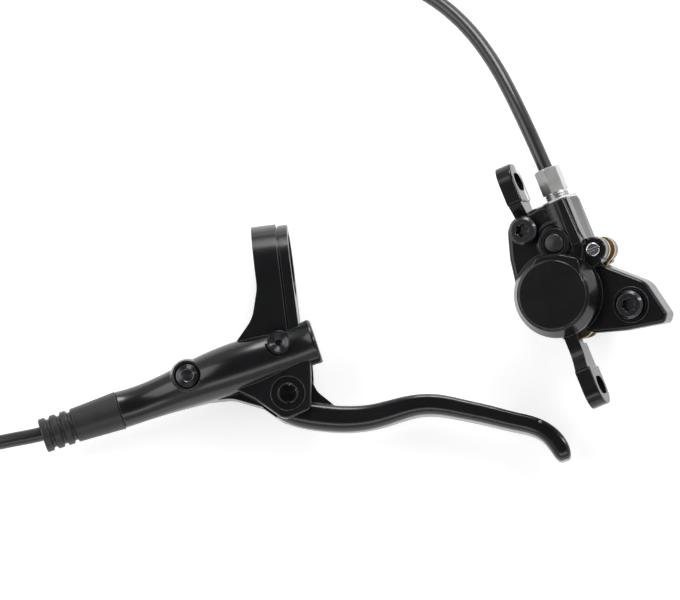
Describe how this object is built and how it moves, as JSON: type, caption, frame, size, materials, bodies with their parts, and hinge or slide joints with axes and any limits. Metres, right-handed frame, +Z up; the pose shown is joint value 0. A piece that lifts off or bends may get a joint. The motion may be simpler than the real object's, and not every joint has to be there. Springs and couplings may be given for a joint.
{
  "type": "hydraulic disc brake",
  "caption": "Bicycle hydraulic disc brake: hand lever with master cylinder and bar clamp, post-mount caliper, and the hose between them.",
  "frame": {"origin": "middle of the handlebar clamp's bore, on the bar's axis", "axes": "+X along the bar towards the lever's tip, +Y away from the blade across the bar, +Z up from the surface that the brake lies on"},
  "size_m": [0.2945, 0.195, 0.0408],
  "materials": {
    "black_paint": "satin gloss black paint",
    "black_steel": "black oxide",
    "turned_steel": "turned, blackened",
    "bright_steel": "plated",
    "hose_skin": "extruded, fine lengthwise sheen",
    "black_rubber": "moulded, matte",
    "brass": "turned",
    "bearing_plastic": "moulded",
    "resin": "moulded and ground",
    "pad_steel": "yellow plated",
    "friction": "pressed resin"
  },
  "bodies": {
    "brake": {"master_cylinder_body": "black_paint", "clamp_bolt": "black_steel", "lever_pivot_pin": "black_steel", "pivot_circlip": "bright_steel", "piston_retaining_ring": "bright_steel", "return_spring": "bright_steel", "reservoir_bladder": "black_rubber", "bleed_screw": "turned_steel", "bleed_screw_seal": "black_rubber", "rear_plug": "turned_steel", "rear_plug_seal": "black_rubber", "lever_hose_boot": "black_rubber", "lever_compression_nut": "bright_steel", "lever_olive": "brass", "lever_hose_insert": "brass", "lever_hose_span": "hose_skin", "hose_coil": "hose_skin", "caliper_hose_span": "hose_skin", "caliper_outer_half": "black_paint", "caliper_inner_half": "black_paint", "caliper_body_bolts": "black_steel", "crossover_seal": "black_rubber", "outer_piston_seal": "black_rubber", "inner_piston_seal": "black_rubber", "pad_spring": "bright_steel", "pad_pin": "bright_steel", "bleed_nipple": "bright_steel", "bleed_nipple_cap": "black_rubber", "caliper_hose_nut": "bright_steel", "caliper_olive": "brass", "caliper_hose_insert": "brass"},
    "lever": {"brake_lever": "black_paint", "pivot_bushes": "bearing_plastic"},
    "master_piston_set": {"push_rod": "bright_steel", "master_piston": "resin", "primary_cup": "black_rubber", "secondary_cup": "black_rubber"},
    "outer_pad_set": {"outer_piston": "resin", "outer_pad_plate": "pad_steel", "outer_pad_lining": "friction"},
    "inner_pad_set": {"inner_piston": "resin", "inner_pad_plate": "pad_steel", "inner_pad_lining": "friction"}
  },
  "joints": [
    {"name": "lever_pivot", "type": "hinge", "parent": "brake", "child": "lever", "pos_m": [0, -0.04435, -0.00216], "axis": [0, -0.0487, 0.9988], "range_deg": [0, 20], "stiffness_Nm_per_rad": 0.6, "springref_deg": -17.19},
    {"name": "master_piston_slide", "type": "slide", "parent": "brake", "child": "master_piston_set", "axis": [-0.9796, -0.2008, -0.0098], "range_m": [0, 0.0049], "deforming": ["return_spring"]},
    {"name": "outer_piston_slide", "type": "slide", "parent": "brake", "child": "outer_pad_set", "axis": [0.209, 0.1585, -0.965], "range_m": [0, 0.00046], "deforming": ["pad_spring"]},
    {"name": "inner_piston_slide", "type": "slide", "parent": "brake", "child": "inner_pad_set", "axis": [-0.209, -0.1585, 0.965], "range_m": [0, 0.00046]}
  ],
  "couplings": [
    {"joint": "master_piston_slide", "follows": "lever_pivot", "m_per_rad": 0.013986},
    {"joint": "outer_piston_slide", "follows": "lever_pivot", "m_per_rad": 0.00129},
    {"joint": "inner_piston_slide", "follows": "lever_pivot", "m_per_rad": 0.00129}
  ]
}
